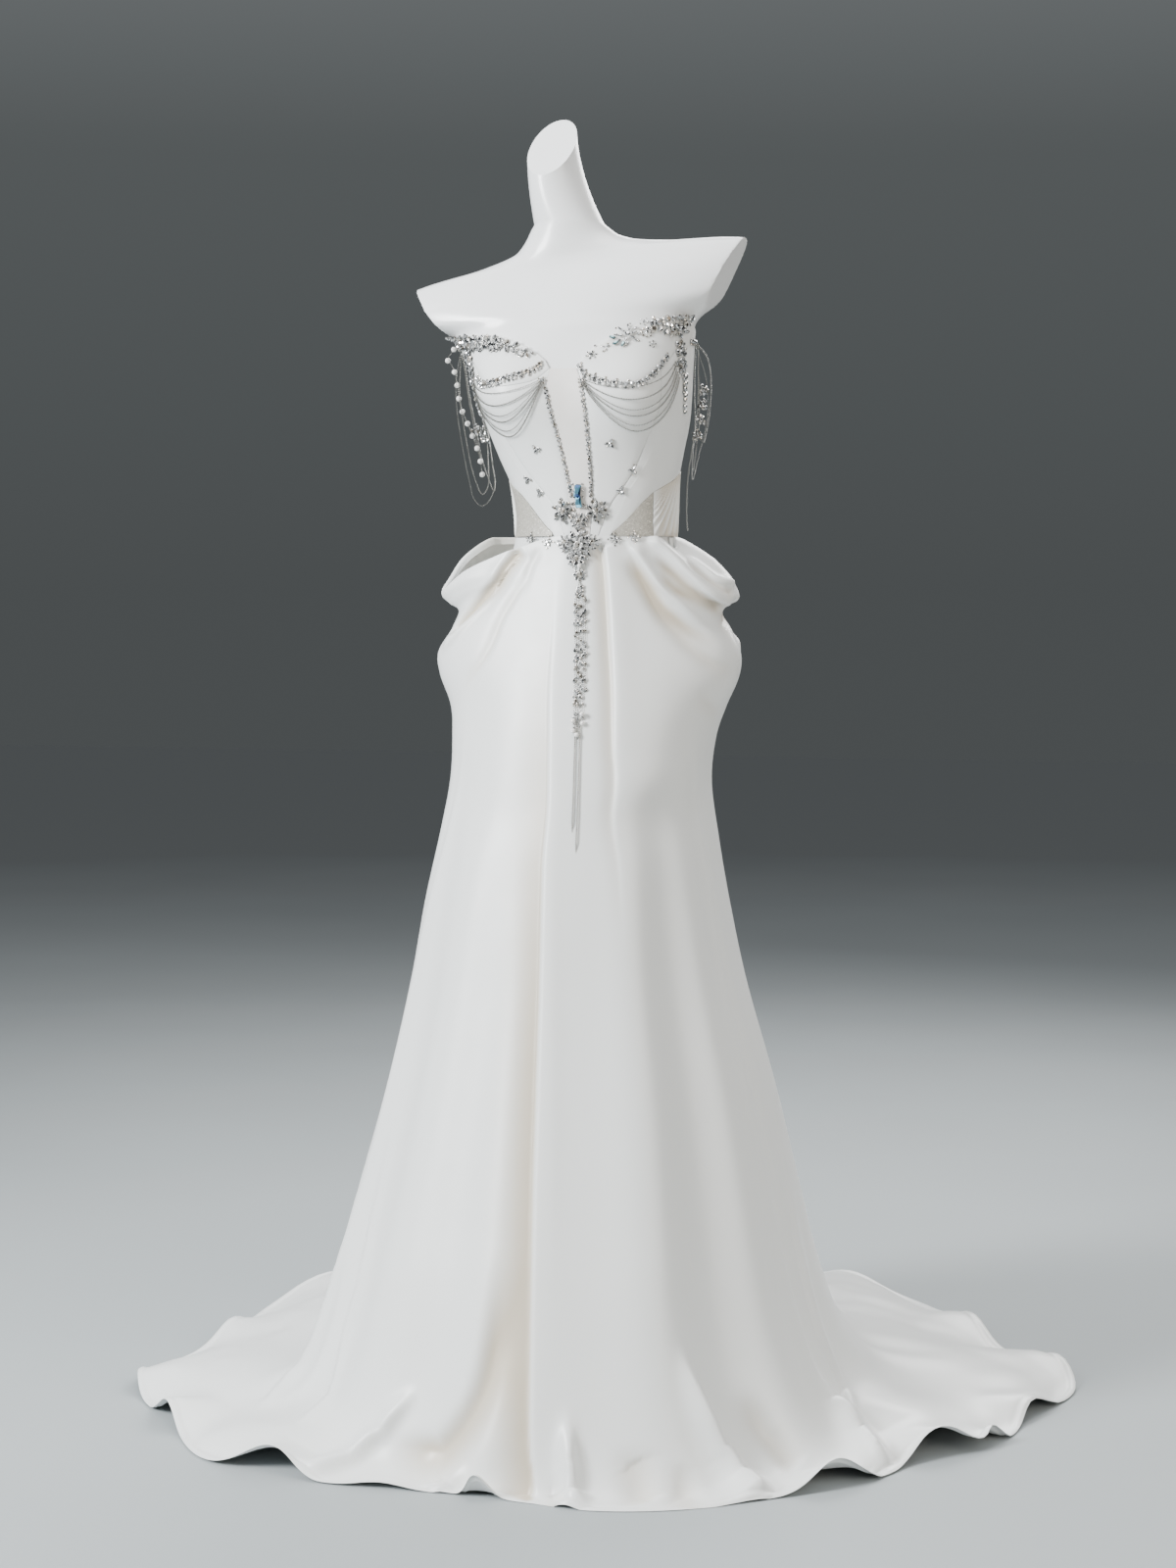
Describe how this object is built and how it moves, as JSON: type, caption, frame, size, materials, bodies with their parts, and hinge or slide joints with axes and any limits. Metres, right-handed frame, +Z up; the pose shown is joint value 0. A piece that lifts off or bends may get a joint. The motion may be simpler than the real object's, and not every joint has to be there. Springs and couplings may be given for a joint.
{
  "type": "wedding dress on dress form",
  "caption": "Strapless white satin wedding dress with draped hips, crystal bodice trim, tassel and a round train, on a white limbless dress form",
  "frame": {"origin": "middle of the stand plate's underside, on the floor", "axes": "+Z up; -Y is the front of the dress; +X is its wearer's left, the picture's right"},
  "size_m": [1.2845, 1.1372, 1.7478],
  "materials": {
    "satin": "soft white bridal satin",
    "sheer": "ivory sheer net over tulle",
    "mesh": "greige net with fine glitter",
    "crystal": "cut rhinestones and silver chain",
    "form_gloss": "smooth white gloss lacquer",
    "stand_metal": "satin steel"
  },
  "bodies": {
    "root": {"arm_drape_left": "crystal", "arm_drape_right": "crystal", "back_placket": "satin", "bodice_back_left": "satin", "bodice_back_right": "satin", "bodice_front_left": "satin", "bodice_front_right": "satin", "bodice_side_left": "satin", "bodice_side_right": "satin", "brooch": "crystal", "cup_left": "satin", "cup_right": "satin", "cup_swags_left": "crystal", "cup_swags_right": "crystal", "form_body": "form_gloss", "hip_yoke_left": "satin", "hip_yoke_right": "satin", "neckline_band_left": "crystal", "neckline_band_right": "crystal", "plunge_band_left": "crystal", "plunge_band_right": "crystal", "plunge_gusset": "sheer", "side_band_left": "crystal", "side_band_right": "crystal", "side_pleats_left": "satin", "side_pleats_right": "satin", "skirt_back_left": "satin", "skirt_back_right": "satin", "skirt_front": "satin", "skirt_side_left": "satin", "skirt_side_right": "satin", "sprig_left_1": "crystal", "sprig_left_2": "crystal", "sprig_left_3": "crystal", "sprig_right_1": "crystal", "sprig_right_2": "crystal", "sprig_right_3": "crystal", "stand_plate": "stand_metal", "stand_pole": "stand_metal", "tassel": "crystal", "undercup_band_left": "crystal", "undercup_band_right": "crystal", "waist_mesh_left": "mesh", "waist_mesh_right": "mesh", "waist_motif_left_1": "crystal", "waist_motif_left_2": "crystal", "waist_motif_right_1": "crystal", "waist_motif_right_2": "crystal"}
  },
  "joints": []
}
